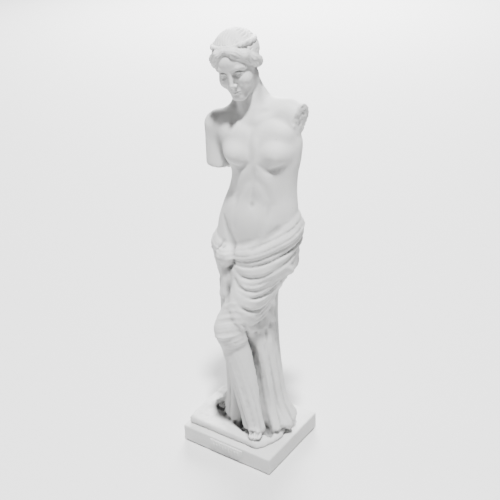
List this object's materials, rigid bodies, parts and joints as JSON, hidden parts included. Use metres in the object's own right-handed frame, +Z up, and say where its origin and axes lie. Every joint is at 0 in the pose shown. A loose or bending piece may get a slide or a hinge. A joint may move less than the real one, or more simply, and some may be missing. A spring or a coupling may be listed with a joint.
{
  "type": "aphrodite statue",
  "caption": "Cast statuette of a half-draped classical goddess without arms, standing on a rock slab and a rectangular plinth, for display on a shelf or table.",
  "frame": {"origin": "centre of the plinth's underside, on the surface it stands on", "axes": "+Z up, the plinth's tablet faces -Y, +X towards the goddess's left"},
  "size_m": [0.0806, 0.065, 0.301],
  "materials": {
    "figure_stone": "matt white cast stone",
    "plinth_stone": "matt white cast stone"
  },
  "bodies": {
    "root": {"figure": "figure_stone", "plinth": "plinth_stone"}
  },
  "joints": []
}
